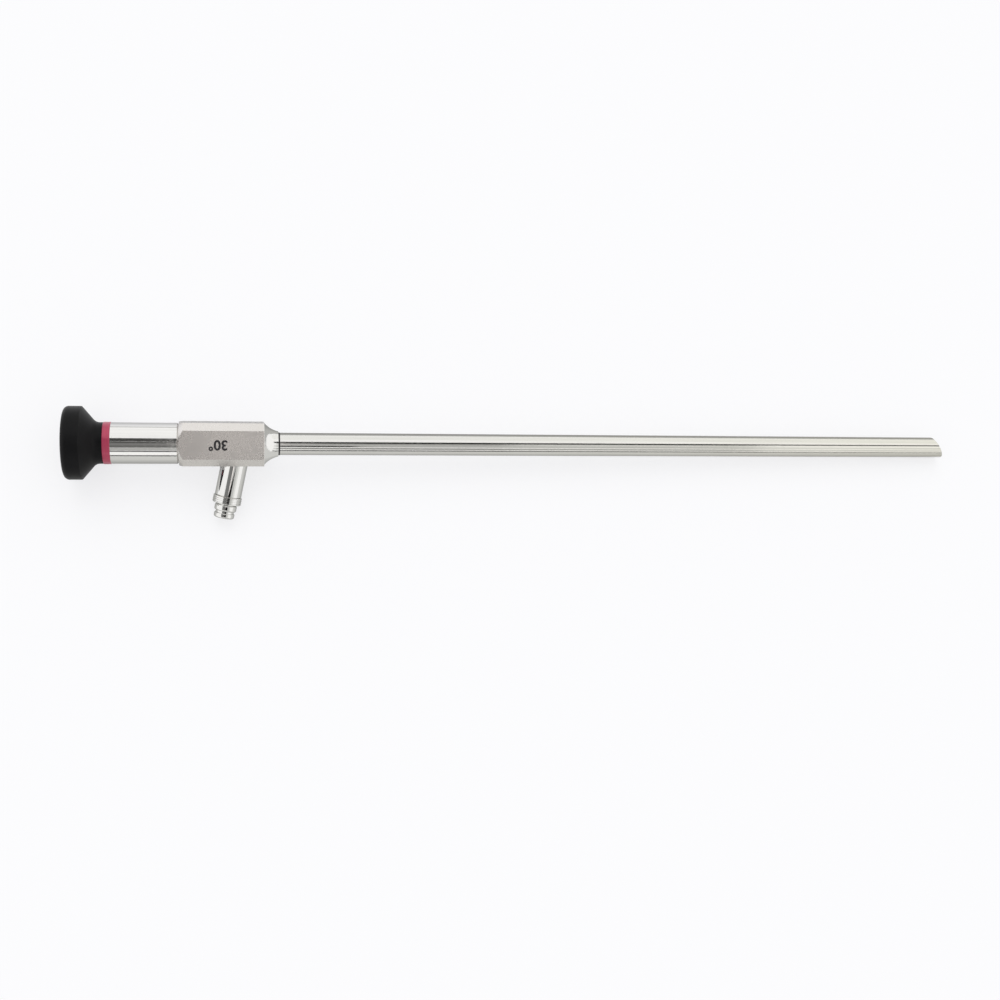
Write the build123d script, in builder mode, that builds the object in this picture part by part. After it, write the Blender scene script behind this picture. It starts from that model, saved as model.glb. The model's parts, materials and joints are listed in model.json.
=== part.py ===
from build123d import *
import os
from math import asin, cos, radians, sin, sqrt, tan

# Rigid endoscope with a thirty degree view. Millimetres and degrees.
# The scope frame has its zero at the front end of the body's nose. Its X runs along the tube to the
# tip, the light post leaves on the -Y side, and the broad flats of the body face +Z and -Z.
# Everything is drawn in that frame, which lies on the floor as the instrument comes to rest: on the
# eye cup's rim, the end of the light post and the tip of the tube.

# Long tube
working_length = 330.0
tube_diameter = 10.0
tube_wall = 0.35
tube_seat_depth = 12.0
tube_seat_step = 0.17
view_angle = 30.0

# Body
body_length = 36.5
body_width = 19.0
body_corner = 3.2
body_edge = 0.25
body_turned_diameter = 19.2
body_wall = 2.5
nose_length = 6.2
nose_wall = 0.65
nose_arc_radius = 11.0
chamber_tail = 12.7
chamber_lip_length = 2.0
chamber_lip_gap = 0.5
spigot_length = 8.0
seal_groove_width = 1.6
seal_groove_depth = 1.35
seal_groove_offset = 3.0

# Eyepiece housing
joint_gap = 0.3
housing_length = 28.05
housing_diameter = 18.0
housing_wall = 1.5
housing_step = 0.3
housing_bevel = 0.4
housing_end_wall = 1.0
rear_spigot_diameter = 14.0
rear_spigot_length = 6.7
rear_spigot_wall = 1.6
window_diameter = 12.2
window_thickness = 1.5
window_ring_length = 0.8
window_ring_width = 1.0

# Colour ring and eye cup
colour_ring_width = 3.25
colour_ring_diameter = 18.4
colour_ring_edge = 0.2
cup_diameter = 31.8
cup_length = 16.2
cup_rim_width = 5.2
cup_rear_rounding = 2.2
cup_rim_edge = 0.4
cup_neck_diameter = 18.0
cup_neck_fillet = 3.5
cup_cone_angle = 50.0
cup_mouth_diameter = 25.0
cup_mouth_edge = 0.6
cup_floor_wall = 1.0
cup_floor_diameter = 13.0
cup_sight_hole = 10.0
cup_seal_groove_depth = 0.9
cup_seal_groove_width = 1.3
cup_seal_groove_offset = 2.6

# Eyepiece optics
barrel_gap = 1.5
barrel_wall = 1.2
barrel_lip_length = 1.0
barrel_lip_width = 0.8
field_lens_length = 4.0
eye_lens_length = 4.0
eye_lens_bulge = 0.9
lens_spacer_length = 3.0
retaining_ring_length = 1.5
lock_ring_length = 2.0
lock_ring_width = 1.6

# Relay optics
inner_tube_diameter = 7.6
inner_tube_wall = 0.25
bush_wall = 1.7
lock_nut_length = 3.0
lock_nut_recess = 1.0
lock_nut_gap = 0.3
field_stop_length = 0.6
field_stop_hole = 4.6
rod_count = 6
rod_bulge = 0.8
spacer_length = 12.3
spacer_wall = 0.35
objective_cell_length = 14.0
cell_wall = 0.55
cell_lip_length = 1.5
window_plate_length = 0.9
front_lens_length = 1.0
front_lens_hollow_radius = 1.9
front_lens_hollow_depth = 0.6
prism_length = 4.6
objective_spacer_length = 1.0
objective_spacer_wall = 0.45
objective_crown_length = 2.4
objective_bulge = 0.5

# Light guide
fibre_fit = 0.05
manifold_wall = 2.0
manifold_tail = 5.7
manifold_taper = 3.0
fibre_arm_diameter = 5.4

# Light post. Its lengths run outwards from the scope's axis.
post_position = 17.3
post_lean = 11.4
post_hole_diameter = 9.2
stem_start = 7.3
stem_shoulder_diameter = 10.0
stem_shoulder_end = 22.0
stem_tip_diameter = 7.0
stem_tip_end = 33.0
stem_groove_start = 17.6
stem_groove_width = 1.4
stem_groove_depth = 0.9
ferrule_start = 20.0
ferrule_wall = 0.35
sleeve_diameter = 11.6
sleeve_end = 23.8
sleeve_edge = 0.3
collar_diameter = 12.5
collar_end = 27.1
collar_edge = 0.25
collar_groove_count = 3
collar_groove_depth = 0.35
collar_groove_width = 0.4
neck_length = 0.5
first_ring_diameter = 9.65
first_ring_end = 30.5
first_ring_edge = 0.75
snap_groove_diameter = 8.0
snap_groove_end = 31.4
end_ring_diameter = 8.9
end_ring_edge = 0.8
snap_ring_edge = 0.4
post_end = 33.7
adapter_seal_space = 0.8

# Fits
slide_fit = 0.02
lens_fit = 0.05
seal_fit = 0.025
cut_margin = 5.0

# Radii
tube_radius = tube_diameter / 2
tube_bore = tube_radius - tube_wall
tube_seat_radius = tube_radius - tube_seat_step
body_half = body_width / 2
body_turned_radius = body_turned_diameter / 2
nose_radius = tube_radius + nose_wall
chamber_radius = body_half - body_wall
housing_radius = housing_diameter / 2
housing_bore = housing_radius - housing_wall
barrel_bore = housing_bore - housing_step
barrel_radius = barrel_bore - slide_fit
lens_bore = barrel_radius - barrel_wall
eye_lens_radius = lens_bore - lens_fit
eye_dome_radius = lens_bore - barrel_lip_width - lens_fit
rear_spigot_radius = rear_spigot_diameter / 2
rear_spigot_bore = rear_spigot_radius - rear_spigot_wall
window_radius = window_diameter / 2
colour_ring_radius = colour_ring_diameter / 2
cup_radius = cup_diameter / 2
cup_neck_radius = cup_neck_diameter / 2
cup_mouth_radius = cup_mouth_diameter / 2
cup_socket_radius = rear_spigot_radius + slide_fit
inner_tube_radius = inner_tube_diameter / 2
inner_tube_bore = inner_tube_radius - inner_tube_wall
bush_radius = inner_tube_radius + bush_wall
body_bore = bush_radius + slide_fit
spigot_radius = housing_bore - slide_fit
relay_radius = inner_tube_bore - lens_fit
rod_dome_radius = relay_radius - spacer_wall - lens_fit
cell_bore = relay_radius - cell_wall
cell_lens_radius = cell_bore - lens_fit
cell_dome_radius = cell_lens_radius - objective_spacer_wall - lens_fit
fibre_inner_radius = inner_tube_radius + fibre_fit
fibre_outer_radius = tube_bore - fibre_fit
manifold_radius = fibre_inner_radius + manifold_wall
fibre_arm_radius = fibre_arm_diameter / 2
post_hole_radius = post_hole_diameter / 2
stem_tip_radius = stem_tip_diameter / 2
stem_shoulder_radius = stem_shoulder_diameter / 2
stem_bore = fibre_arm_radius + fibre_fit
ferrule_radius = stem_bore + ferrule_wall
sleeve_bore = stem_shoulder_radius + slide_fit
adapter_bore = stem_tip_radius + slide_fit
collar_radius = collar_diameter / 2
first_ring_radius = first_ring_diameter / 2
snap_groove_radius = snap_groove_diameter / 2
end_ring_radius = end_ring_diameter / 2

# Stations along the scope's axis
body_front = -nose_length
body_rear = body_front - body_length
spigot_rear = body_rear - spigot_length
tube_rear = -tube_seat_depth
chamber_rear = -post_position - chamber_tail
bush_front = chamber_rear - chamber_lip_length
lock_nut_rear = spigot_rear + lock_nut_recess
bush_rear = lock_nut_rear + lock_nut_length
housing_front = body_rear - joint_gap
housing_rear = housing_front - housing_length
barrel_rear = housing_rear + housing_end_wall
lock_ring_front = spigot_rear - barrel_gap
barrel_front = lock_ring_front - lock_ring_length
cup_front = housing_rear - colour_ring_width
cup_rear = cup_front - cup_length
cup_rim_front = cup_rear + cup_rear_rounding + cup_rim_width
rear_spigot_rear = cup_front - rear_spigot_length
window_rear = rear_spigot_rear + window_ring_length
window_front = window_rear + window_thickness
relay_rear = spigot_rear + field_stop_length
bevel_centre = working_length - tube_radius * tan(radians(view_angle))
plate_rear = bevel_centre - window_plate_length
front_lens_rear = plate_rear - front_lens_length
cell_rear = plate_rear - objective_cell_length
prism_rear = front_lens_rear - prism_length
crown_front = prism_rear - objective_spacer_length
crown_rear = crown_front - objective_crown_length
flint_rear = cell_rear + cell_lip_length
rod_length = (cell_rear - relay_rear - (rod_count + 1) * spacer_length) / rod_count


def lying_attitude():
    """Pitch and roll in radians, and the axis's height at the scope's zero, as the scope lies.

    The eye cup's rim, the end of the light post and the tip each touch the floor with the lowest
    point of their edge. The pitch follows from the rim and the tip, and the roll from the post. A
    few rounds settle the two together.
    """
    lean = radians(post_lean)
    bevel_slope = tan(radians(view_angle))
    rim_station = cup_rim_front - cup_rim_edge
    disc_reach = post_end - end_ring_edge
    disc_station = -post_position - disc_reach * sin(lean)
    pitch, roll, height = 0.0, lean, cup_radius
    for _ in range(30):
        tip_drop = tube_radius * sqrt(
            (cos(roll) * cos(pitch)) ** 2
            + (sin(roll) * cos(pitch) + bevel_slope * sin(pitch)) ** 2
        )
        rim_drop = (cup_radius - cup_rim_edge) * cos(pitch) + cup_rim_edge
        pitch = asin((rim_drop - tip_drop) / (bevel_centre - rim_station))
        height = rim_station * sin(pitch) + rim_drop
        disc_slope = sin(lean) * sin(pitch) - cos(lean) * sin(roll) * cos(pitch)
        disc_drop = (end_ring_radius - end_ring_edge) * sqrt(1 - disc_slope**2) + end_ring_edge
        fall = height - disc_station * sin(pitch) - disc_drop
        roll = asin(fall / (disc_reach * cos(lean) * cos(pitch)))
    return pitch, roll, height


pitch, roll, axis_height = lying_attitude()

# The origin is the middle of the floor that the scope covers.
reach_back = (cup_rear + cup_rear_rounding) * cos(pitch) - cup_rear_rounding
reach_back -= (cup_radius - cup_rear_rounding) * sin(pitch)
reach_front = bevel_centre * cos(pitch) + tube_radius * sqrt(
    (cos(roll) * sin(pitch)) ** 2
    + (tan(radians(view_angle)) * cos(pitch) - sin(roll) * sin(pitch)) ** 2
)
side_share = cos(radians(post_lean)) * cos(roll)
reach_side = (post_end - end_ring_edge) * side_share + end_ring_edge
reach_side += (end_ring_radius - end_ring_edge) * sqrt(1 - side_share**2)
scope_zero = Vector(-(reach_back + reach_front) / 2, (reach_side - cup_radius) / 2, axis_height)

tube_direction = Vector(cos(pitch), 0, -sin(pitch))
flat_direction = Vector(cos(roll) * sin(pitch), -sin(roll), cos(roll) * cos(pitch))
SCOPE = Plane(origin=scope_zero, x_dir=tube_direction, z_dir=flat_direction)
SCOPE_AXIS = Axis(SCOPE.origin, SCOPE.x_dir)

post_direction = SCOPE.x_dir * -sin(radians(post_lean)) - SCOPE.y_dir * cos(radians(post_lean))
post_foot = SCOPE.from_local_coords(Vector(-post_position, 0, 0))
POST = Plane(origin=post_foot, x_dir=post_direction, z_dir=flat_direction)
POST_AXIS = Axis(POST.origin, POST.x_dir)

BODY_SIDE = Plane(origin=SCOPE.from_local_coords(Vector(0, -body_half, 0)), z_dir=-SCOPE.y_dir)

os.makedirs("parts", exist_ok=True)


def across(station):
    """Plane square to the scope's axis, with its X across the body and its Z towards the tip."""
    origin = SCOPE.from_local_coords(Vector(station, 0, 0))
    return Plane(origin=origin, x_dir=SCOPE.y_dir, z_dir=SCOPE.x_dir)


def post_across(reach):
    """Plane square to the light post, facing outwards."""
    origin = POST.from_local_coords(Vector(reach, 0, 0))
    return Plane(origin=origin, x_dir=POST.y_dir, z_dir=POST.x_dir)


def slanted(station):
    """Plane parallel to the bevelled tip, crossing the scope's axis at a station."""
    tilt = radians(view_angle)
    origin = SCOPE.from_local_coords(Vector(station, 0, 0))
    return Plane(origin=origin, z_dir=SCOPE.x_dir * cos(tilt) + SCOPE.y_dir * sin(tilt))


def finish(piece, name):
    """Names a piece and writes it out."""
    piece.part.label = name
    export_step(piece.part, f"parts/{name}.step")


def export_ring(name, rear, front, outer, inner, edge=0.0):
    """A turned ring on the scope's axis, with its outer edges broken where an edge is given."""
    with BuildPart() as turned:
        with BuildSketch(across(rear)):
            Circle(outer)
            Circle(inner, mode=Mode.SUBTRACT)
        extrude(amount=front - rear)
        if edge:
            rims = turned.edges().filter_by(GeomType.CIRCLE).sort_by(SortBy.RADIUS)[-2:]
            chamfer(rims, length=edge)
    finish(turned, name)


def export_seal(name, frame, axis, place, floor, wall):
    """A round rubber ring between a groove's floor and the wall around it."""
    with BuildPart() as seal:
        with BuildSketch(frame):
            with Locations((place, (floor + wall) / 2)):
                Circle((wall - floor) / 2 - seal_fit)
        revolve(axis=axis)
    finish(seal, name)


def export_lens(name, rear, front, radius, dome_radius, rear_bulge, front_bulge):
    """A lens or glass rod whose spherical ends lie inside flat seating rims.

    A bulge below zero makes a hollow end, and a bulge of zero a flat one.
    """
    rear_pole = rear - rear_bulge
    front_pole = front + front_bulge
    with BuildPart() as lens:
        with BuildSketch(SCOPE):
            with BuildLine():
                Line((rear_pole, 0), (front_pole, 0))
                if front_bulge:
                    TangentArc((front_pole, 0), (front, dome_radius), tangent=(0, 1))
                else:
                    Line((front_pole, 0), (front, dome_radius))
                Polyline((front, dome_radius), (front, radius), (rear, radius), (rear, dome_radius))
                if rear_bulge:
                    TangentArc((rear_pole, 0), (rear, dome_radius), tangent=(0, 1))
                else:
                    Line((rear_pole, 0), (rear, dome_radius))
            make_face()
        revolve(axis=SCOPE_AXIS)
    finish(lens, name)


# Eye cup: a black moulding with a broad rim, a cone down to its neck and a funnel for the eye.
cone_end = cup_rim_front + (cup_radius - cup_neck_radius) / tan(radians(cup_cone_angle))
cup_floor = rear_spigot_rear - cup_floor_wall
cup_neck_reach = (cup_front - cone_end - joint_gap) / tan(radians(cup_cone_angle / 2))
with BuildPart() as eye_cup:
    with BuildSketch(SCOPE):
        with BuildLine():
            Polyline(
                (cup_rear, cup_mouth_radius),
                (cup_rear, cup_radius),
                (cup_rim_front, cup_radius),
                (cone_end, cup_neck_radius),
                (cup_front, cup_neck_radius),
                (cup_front, cup_socket_radius),
                (rear_spigot_rear, cup_socket_radius),
                (rear_spigot_rear, cup_sight_hole / 2),
                (cup_floor, cup_sight_hole / 2),
                (cup_floor, cup_floor_diameter / 2),
                close=True,
            )
        make_face()
        neck_corner = vertices().sort_by_distance((cone_end, cup_neck_radius))[0]
        fillet(neck_corner, radius=min(cup_neck_fillet, cup_neck_reach))
        fillet(vertices().sort_by_distance((cup_rim_front, cup_radius))[0], radius=cup_rim_edge)
        fillet(vertices().sort_by_distance((cup_rear, cup_radius))[0], radius=cup_rear_rounding)
        fillet(vertices().sort_by_distance((cup_rear, cup_mouth_radius))[0], radius=cup_mouth_edge)
    revolve(axis=SCOPE_AXIS)
finish(eye_cup, "eye_cup")

# Colour ring, held between the cup and the housing
export_ring(
    "colour_ring", cup_front, housing_rear, colour_ring_radius, cup_socket_radius, colour_ring_edge
)

# Ocular housing: the polished tube of the eyepiece, with the spigot that carries ring and cup.
cup_seal_floor = rear_spigot_radius - cup_seal_groove_depth
cup_seal_place = cup_front - cup_seal_groove_offset
with BuildPart() as ocular_housing:
    with BuildSketch(SCOPE):
        with BuildLine():
            Polyline(
                (housing_front, housing_bore),
                (housing_front, housing_radius - housing_bevel),
                (housing_front - housing_bevel, housing_radius),
                (housing_rear, housing_radius),
                (housing_rear, rear_spigot_radius),
                (rear_spigot_rear, rear_spigot_radius),
                (rear_spigot_rear, window_radius),
                (window_front, window_radius),
                (window_front, rear_spigot_bore),
                (barrel_rear, rear_spigot_bore),
                (barrel_rear, barrel_bore),
                (spigot_rear, barrel_bore),
                (spigot_rear, housing_bore),
                close=True,
            )
        make_face()
        with Locations((cup_seal_place, rear_spigot_radius)):
            Rectangle(cup_seal_groove_width, 2 * cup_seal_groove_depth, mode=Mode.SUBTRACT)
    revolve(axis=SCOPE_AXIS)
finish(ocular_housing, "ocular_housing")
export_seal("eye_cup_seal", SCOPE, SCOPE_AXIS, cup_seal_place, cup_seal_floor, cup_socket_radius)

# Rear window and the ring that holds it
window_edge = window_radius - slide_fit
window_view_radius = window_radius - window_ring_width
export_ring("window_ring", rear_spigot_rear, window_rear, window_edge, window_view_radius)
export_lens("ocular_window", window_rear, window_front, window_edge, window_view_radius, 0, 0)

# Lens barrel of the eyepiece
barrel_lip_front = barrel_rear + barrel_lip_length
with BuildPart() as ocular_barrel:
    with BuildSketch(SCOPE):
        with BuildLine():
            Polyline(
                (barrel_rear, lens_bore - barrel_lip_width),
                (barrel_rear, barrel_radius),
                (barrel_front, barrel_radius),
                (barrel_front, lens_bore),
                (barrel_lip_front, lens_bore),
                (barrel_lip_front, lens_bore - barrel_lip_width),
                close=True,
            )
        make_face()
    revolve(axis=SCOPE_AXIS)
finish(ocular_barrel, "ocular_barrel")

# Eyepiece lenses, stacked from the barrel's lip forwards
eye_lens_front = barrel_lip_front + eye_lens_length
field_lens_rear = eye_lens_front + lens_spacer_length
field_lens_front = field_lens_rear + field_lens_length
ring_bore = lens_bore - barrel_lip_width
export_lens(
    "eye_lens", barrel_lip_front, eye_lens_front, eye_lens_radius, eye_dome_radius, 0, eye_lens_bulge
)
export_ring("eyepiece_spacer", eye_lens_front, field_lens_rear, eye_lens_radius, ring_bore)
export_lens(
    "field_lens", field_lens_rear, field_lens_front, eye_lens_radius, eye_dome_radius, eye_lens_bulge, 0
)
retaining_ring_front = field_lens_front + retaining_ring_length
export_ring("lens_retaining_ring", field_lens_front, retaining_ring_front, eye_lens_radius, ring_bore)
lock_ring_bore = barrel_radius - lock_ring_width
export_ring("barrel_lock_ring", barrel_front, lock_ring_front, barrel_radius, lock_ring_bore)

# Main body: a faceted bar, turned to a bevel at its rear end, with a hollow-curved nose in front and
# a spigot behind.
body_seal_floor = spigot_radius - seal_groove_depth
body_seal_place = body_rear - seal_groove_offset
lip_bore = inner_tube_radius + chamber_lip_gap
with BuildPart() as main_body:
    with BuildSketch(across(body_rear)):
        Rectangle(body_width, body_width)
        chamfer(vertices(), length=body_corner)
        fillet(vertices(), radius=body_edge)
    extrude(amount=body_length)
    with BuildSketch(SCOPE):
        with BuildLine():
            Polyline(
                (body_rear, body_turned_radius),
                (body_rear + body_half, body_turned_radius + body_half),
                (body_rear, body_turned_radius + body_half),
                close=True,
            )
        make_face()
    revolve(axis=SCOPE_AXIS, mode=Mode.SUBTRACT)
    with BuildSketch(SCOPE):
        with BuildLine():
            Line((body_front, 0), (body_front, body_half))
            RadiusArc((body_front, body_half), (0, nose_radius), -nose_arc_radius)
            Polyline((0, nose_radius), (0, 0), (body_front, 0))
        make_face()
    revolve(axis=SCOPE_AXIS)
    with BuildSketch(across(spigot_rear)):
        Circle(spigot_radius)
    extrude(amount=spigot_length)
    with BuildSketch(SCOPE):
        with Locations((body_seal_place, spigot_radius)):
            Rectangle(seal_groove_width, 2 * seal_groove_depth)
    revolve(axis=SCOPE_AXIS, mode=Mode.SUBTRACT)
    with BuildSketch(SCOPE):
        with BuildLine():
            Polyline(
                (spigot_rear, 0),
                (spigot_rear, body_bore),
                (bush_front, body_bore),
                (bush_front, lip_bore),
                (chamber_rear, lip_bore),
                (chamber_rear, chamber_radius),
                (tube_rear, chamber_radius),
                (tube_rear, tube_seat_radius),
                (0, tube_seat_radius),
                (0, 0),
                close=True,
            )
        make_face()
    revolve(axis=SCOPE_AXIS, mode=Mode.SUBTRACT)
    with BuildSketch(post_across(chamber_radius / 2)):
        Circle(post_hole_radius)
    extrude(amount=body_width, mode=Mode.SUBTRACT)
finish(main_body, "main_body")
export_seal("body_seal_ring", SCOPE, SCOPE_AXIS, body_seal_place, body_seal_floor, housing_bore)

# Long tube, turned down where it is brazed into the nose, and ground to the view angle at its tip
with BuildPart() as sheath_tube:
    with BuildSketch(across(tube_rear)):
        Circle(tube_seat_radius)
    extrude(amount=tube_seat_depth)
    with BuildSketch(across(0)):
        Circle(tube_radius)
    extrude(amount=working_length + cut_margin)
    with BuildSketch(across(tube_rear)):
        Circle(tube_bore)
    extrude(amount=working_length - tube_rear + cut_margin, mode=Mode.SUBTRACT)
    split(bisect_by=slanted(bevel_centre), keep=Keep.BOTTOM)
finish(sheath_tube, "sheath_tube")

# Optical tube, with the bush and nut that hold its rear end in the body
with BuildPart() as optical_tube:
    with BuildSketch(across(spigot_rear)):
        Circle(inner_tube_radius)
        Circle(inner_tube_bore, mode=Mode.SUBTRACT)
    extrude(amount=working_length - spigot_rear + cut_margin)
    split(bisect_by=slanted(bevel_centre), keep=Keep.BOTTOM)
finish(optical_tube, "optical_tube")
export_ring("tube_bush", bush_rear, bush_front, bush_radius, inner_tube_radius + slide_fit)
export_ring("tube_lock_nut", lock_nut_rear, bush_rear, bush_radius, inner_tube_radius + lock_nut_gap)
export_ring("field_stop", spigot_rear, relay_rear, relay_radius, field_stop_hole / 2)

# Relay: glass rods with spacer tubes before, between and behind them
spacer_bore = relay_radius - spacer_wall
for number in range(rod_count + 1):
    spacer_rear = relay_rear + number * (spacer_length + rod_length)
    spacer_front = spacer_rear + spacer_length
    export_ring(f"relay_spacer_{number + 1}", spacer_rear, spacer_front, relay_radius, spacer_bore)
    if number < rod_count:
        export_lens(
            f"rod_lens_{number + 1}",
            spacer_front,
            spacer_front + rod_length,
            relay_radius,
            rod_dome_radius,
            rod_bulge,
            rod_bulge,
        )

# Objective: cell, cemented pair, spacer, prism, front lens and the slanted window
with BuildPart() as objective_cell:
    with BuildSketch(across(cell_rear)):
        Circle(relay_radius)
        Circle(cell_dome_radius, mode=Mode.SUBTRACT)
    extrude(amount=working_length - cell_rear)
    with BuildSketch(across(flint_rear)):
        Circle(cell_bore)
    extrude(amount=working_length - flint_rear, mode=Mode.SUBTRACT)
    split(bisect_by=slanted(plate_rear), keep=Keep.BOTTOM)
finish(objective_cell, "objective_cell")
export_lens(
    "objective_flint", flint_rear, crown_rear, cell_lens_radius, cell_dome_radius, 0, -objective_bulge
)
export_lens(
    "objective_crown",
    crown_rear,
    crown_front,
    cell_lens_radius,
    cell_dome_radius,
    objective_bulge,
    objective_bulge,
)
objective_spacer_bore = cell_lens_radius - objective_spacer_wall
export_ring("objective_spacer", crown_front, prism_rear, cell_lens_radius, objective_spacer_bore)

with BuildPart() as deflecting_prism:
    with BuildSketch(across(prism_rear)):
        Circle(cell_lens_radius)
    extrude(amount=working_length - prism_rear)
    split(bisect_by=slanted(front_lens_rear), keep=Keep.BOTTOM)
finish(deflecting_prism, "deflecting_prism")

with BuildPart() as front_lens:
    with BuildSketch(across(prism_rear)):
        Circle(cell_lens_radius)
    extrude(amount=working_length - prism_rear)
    split(bisect_by=slanted(plate_rear), keep=Keep.BOTTOM)
    split(bisect_by=slanted(front_lens_rear), keep=Keep.TOP)
    hollow_offset = (front_lens_hollow_depth - front_lens_hollow_radius) / cos(radians(view_angle))
    with Locations(slanted(front_lens_rear + hollow_offset).location):
        Sphere(front_lens_hollow_radius, mode=Mode.SUBTRACT)
finish(front_lens, "objective_front_lens")

with BuildPart() as distal_window:
    with BuildSketch(across(prism_rear)):
        Circle(relay_radius)
    extrude(amount=working_length - prism_rear + cut_margin)
    split(bisect_by=slanted(bevel_centre), keep=Keep.BOTTOM)
    split(bisect_by=slanted(plate_rear), keep=Keep.TOP)
finish(distal_window, "distal_window")

# Fibre bundle: a sleeve of light fibres round the optical tube, gathered into the post.
manifold_rear = -post_position - manifold_tail
manifold_front = tube_rear - manifold_taper
arm_start = fibre_inner_radius + manifold_wall / 2
with BuildPart() as fibre_bundle:
    with BuildSketch(SCOPE):
        with BuildLine():
            Polyline(
                (manifold_rear, fibre_inner_radius),
                (manifold_rear, manifold_radius),
                (manifold_front, manifold_radius),
                (tube_rear, fibre_outer_radius),
                (working_length + cut_margin, fibre_outer_radius),
                (working_length + cut_margin, fibre_inner_radius),
                close=True,
            )
        make_face()
    revolve(axis=SCOPE_AXIS)
    split(bisect_by=slanted(bevel_centre), keep=Keep.BOTTOM)
    with BuildSketch(post_across(arm_start)):
        Circle(fibre_arm_radius)
    extrude(amount=stem_tip_end - arm_start)
finish(fibre_bundle, "fibre_bundle")

# Light post stem, brazed into the body, with the ferrule that holds the polished end of the fibres
stem_groove_end = stem_groove_start + stem_groove_width
with BuildPart() as light_post_stem:
    with BuildSketch(post_across(stem_start)):
        Circle(stem_shoulder_radius)
    extrude(amount=stem_shoulder_end - stem_start)
    split(bisect_by=BODY_SIDE, keep=Keep.TOP)
    with BuildSketch(post_across(stem_start)):
        Circle(post_hole_radius - slide_fit)
    extrude(amount=stem_shoulder_end - stem_start)
    with BuildSketch(post_across(stem_start)):
        Circle(stem_tip_radius)
    extrude(amount=stem_tip_end - stem_start)
    with BuildSketch(post_across(stem_groove_start)):
        Circle(stem_shoulder_radius + slide_fit)
        Circle(stem_shoulder_radius - stem_groove_depth, mode=Mode.SUBTRACT)
    extrude(amount=stem_groove_width, mode=Mode.SUBTRACT)
    with BuildSketch(post_across(stem_start)):
        Circle(stem_bore)
    extrude(amount=stem_tip_end - stem_start, mode=Mode.SUBTRACT)
    with BuildSketch(post_across(ferrule_start)):
        Circle(ferrule_radius + slide_fit)
    extrude(amount=stem_tip_end - ferrule_start, mode=Mode.SUBTRACT)
finish(light_post_stem, "light_post_stem")
export_seal(
    "sleeve_seal",
    POST,
    POST_AXIS,
    (stem_groove_start + stem_groove_end) / 2,
    stem_shoulder_radius - stem_groove_depth,
    sleeve_bore,
)

with BuildPart() as fibre_ferrule:
    with BuildSketch(post_across(ferrule_start)):
        Circle(ferrule_radius)
        Circle(stem_bore, mode=Mode.SUBTRACT)
    extrude(amount=stem_tip_end - ferrule_start)
finish(fibre_ferrule, "fibre_ferrule")

# Sleeve of the post, whose foot follows the side of the body
with BuildPart() as post_sleeve:
    with BuildSketch(post_across(stem_start)):
        Circle(sleeve_diameter / 2)
    extrude(amount=sleeve_end - stem_start)
    chamfer(faces().sort_by(POST_AXIS)[-1].edges(), length=sleeve_edge)
    with BuildSketch(post_across(stem_start)):
        Circle(sleeve_bore)
    extrude(amount=stem_shoulder_end - stem_start, mode=Mode.SUBTRACT)
    with BuildSketch(post_across(stem_shoulder_end)):
        Circle(adapter_bore)
    extrude(amount=sleeve_end - stem_shoulder_end, mode=Mode.SUBTRACT)
    split(bisect_by=BODY_SIDE, keep=Keep.TOP)
finish(post_sleeve, "post_sleeve")

# Cable adapter: a grooved collar to turn it by, and the snap end with its two rounded rings and the
# groove between them
adapter_seal_wall = adapter_bore + adapter_seal_space
adapter_seal_end = sleeve_end + adapter_seal_space
collar_pitch = (collar_end - sleeve_end) / (collar_groove_count + 1)
first_ring_start = collar_end + neck_length
with BuildPart() as cable_adapter:
    with BuildSketch(POST):
        with BuildLine():
            Polyline(
                (sleeve_end, adapter_seal_wall),
                (sleeve_end, collar_radius),
                (collar_end, collar_radius),
                (collar_end, snap_groove_radius),
                (first_ring_start, snap_groove_radius),
                (first_ring_start, first_ring_radius),
                (first_ring_end, first_ring_radius),
                (first_ring_end, snap_groove_radius),
                (snap_groove_end, snap_groove_radius),
                (snap_groove_end, end_ring_radius),
                (post_end, end_ring_radius),
                (post_end, adapter_bore),
                (adapter_seal_end, adapter_bore),
                (adapter_seal_end, adapter_seal_wall),
                close=True,
            )
        make_face()
        for station in (sleeve_end, collar_end):
            chamfer(vertices().sort_by_distance((station, collar_radius))[0], length=collar_edge)
        for station in (first_ring_start, first_ring_end):
            fillet(vertices().sort_by_distance((station, first_ring_radius))[0], radius=first_ring_edge)
        fillet(vertices().sort_by_distance((snap_groove_end, end_ring_radius))[0], radius=snap_ring_edge)
        fillet(vertices().sort_by_distance((post_end, end_ring_radius))[0], radius=end_ring_edge)
        for number in range(1, collar_groove_count + 1):
            with Locations((sleeve_end + number * collar_pitch, collar_radius)):
                Rectangle(collar_groove_width, 2 * collar_groove_depth, mode=Mode.SUBTRACT)
    revolve(axis=POST_AXIS)
finish(cable_adapter, "cable_adapter")
export_seal(
    "adapter_seal",
    POST,
    POST_AXIS,
    (sleeve_end + adapter_seal_end) / 2,
    stem_tip_radius,
    adapter_seal_wall,
)
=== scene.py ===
"""Finishes, small added pieces and studio for a rigid endoscope that lies on a pale floor."""

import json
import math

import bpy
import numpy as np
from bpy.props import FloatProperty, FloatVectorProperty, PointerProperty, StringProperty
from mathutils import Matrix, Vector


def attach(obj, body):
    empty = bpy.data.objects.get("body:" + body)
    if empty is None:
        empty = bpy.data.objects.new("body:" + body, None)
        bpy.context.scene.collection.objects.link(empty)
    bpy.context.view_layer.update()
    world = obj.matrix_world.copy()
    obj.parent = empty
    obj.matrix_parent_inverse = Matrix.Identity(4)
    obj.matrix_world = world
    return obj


bl_info = {
    "name": "Rigid endoscope",
    "version": (1, 0, 0),
    "blender": (4, 5, 0),
    "location": "View3D > Sidebar > Endoscope",
    "description": "Gives a packed rigid endoscope its finishes, its marking, its seams and a studio",
    "category": "Object",
}

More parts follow.
